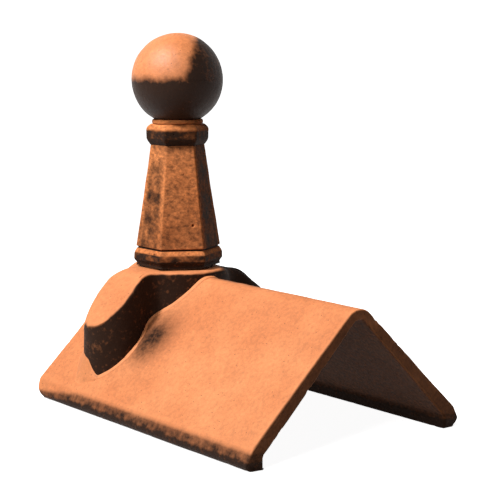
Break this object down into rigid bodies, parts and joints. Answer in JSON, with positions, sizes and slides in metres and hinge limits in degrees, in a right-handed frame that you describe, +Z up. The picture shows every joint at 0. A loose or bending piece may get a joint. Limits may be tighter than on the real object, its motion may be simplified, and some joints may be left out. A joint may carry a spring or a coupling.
{
  "type": "ball-top finial ridge tile",
  "caption": "Angled fired-clay roof ridge tile carrying a six-sided tapering finial with a ball top on a lobed saddle; it caps the end of a roof ridge.",
  "frame": {"origin": "on the ground plane under the crest, at the middle of the tile's length (centre of the bounding box's bottom face)", "axes": "+X along the ridge, from the finial's end to the plain end; +Y across the ridge; +Z up, along the finial"},
  "size_m": [0.45, 0.3262, 0.4731],
  "materials": {
    "tile_clay": "unglazed fired clay, fine sandy matt face",
    "saddle_clay": "unglazed fired clay, hand-smoothed, darker in its hollows",
    "slip_clay": "unglazed slip bead, tooled smooth",
    "inner_clay": "unglazed fired clay, thrown, with faint turning rings",
    "bedding_mortar": "lime mortar, sandy and recessed",
    "finial_clay": "unglazed fired clay, pressed, with worn arrises and small pits",
    "ball_clay": "unglazed fired clay, smoothed on the wheel"
  },
  "bodies": {
    "ridge_base": {"ridge_tile": "tile_clay", "saddle": "saddle_clay", "foot_bead": "slip_clay", "spigot": "inner_clay", "bedding_ring": "bedding_mortar"},
    "finial_top": {"plinth": "finial_clay", "shaft": "finial_clay", "collar": "finial_clay", "neck_ring": "finial_clay", "ball_lower": "ball_clay", "ball_upper": "ball_clay"}
  },
  "joints": [
    {"name": "finial_lift", "type": "slide", "parent": "ridge_base", "child": "finial_top", "axis": [0, 0, 1], "range_m": [0, 0.12]}
  ]
}
